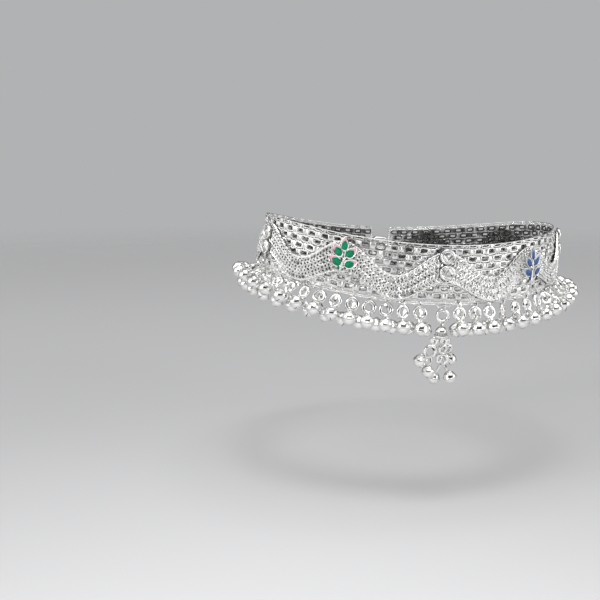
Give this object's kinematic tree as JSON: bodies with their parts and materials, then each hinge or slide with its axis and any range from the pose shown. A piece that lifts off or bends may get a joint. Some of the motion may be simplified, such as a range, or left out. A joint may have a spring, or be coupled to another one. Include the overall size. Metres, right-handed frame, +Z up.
{
  "type": "worn silver anklet",
  "caption": "Wide silver anklet: mesh band with a wave lattice, double rings, enamelled leaf sprigs, a bell fringe and a swinging drop.",
  "frame": {"origin": "middle of the hollow that the ankle goes in, at half the band's height", "axes": "+X to the back of the ankle along the loop's long side, -X to the instep, -Y out of the side that shows, +Z up"},
  "size_m": [0.1163, 0.085, 0.0482],
  "materials": {
    "silver_mesh": "satin",
    "silver_bright": "polished",
    "green_enamel": "gloss",
    "blue_enamel": "gloss"
  },
  "bodies": {
    "anklet": {"blue_enamel_1": "blue_enamel", "blue_enamel_2": "blue_enamel", "blue_sprig_1": "silver_bright", "blue_sprig_2": "silver_bright", "clasp": "silver_mesh", "double_ring_1": "silver_bright", "double_ring_2": "silver_bright", "double_ring_3": "silver_bright", "double_ring_4": "silver_bright", "double_ring_5": "silver_bright", "drop_bar": "silver_bright", "fringe_back_1": "silver_bright", "fringe_back_2": "silver_bright", "fringe_back_3": "silver_bright", "fringe_back_4": "silver_bright", "fringe_back_5": "silver_bright", "fringe_back_6": "silver_bright", "fringe_back_7": "silver_bright", "fringe_back_8": "silver_bright", "fringe_back_9": "silver_bright", "fringe_front_1": "silver_bright", "fringe_front_2": "silver_bright", "fringe_front_3": "silver_bright", "fringe_front_4": "silver_bright", "fringe_front_5": "silver_bright", "fringe_front_6": "silver_bright", "fringe_front_7": "silver_bright", "fringe_front_8": "silver_bright", "fringe_front_9": "silver_bright", "green_enamel_1": "green_enamel", "green_enamel_2": "green_enamel", "green_sprig_1": "silver_bright", "green_sprig_2": "silver_bright", "mesh_band": "silver_mesh", "wave_lattice": "silver_mesh"},
    "drop": {"drop_cap": "silver_bright", "drop_ring": "silver_bright", "drop_strand_left": "silver_bright", "drop_strand_middle": "silver_bright", "drop_strand_right": "silver_bright"}
  },
  "joints": [
    {"name": "drop_swing", "type": "hinge", "parent": "anklet", "child": "drop", "pos_m": [-0.00048, -0.03721, -0.01199], "axis": [-0.9992, 0, 0.0401], "range_deg": [-25, 90]}
  ]
}
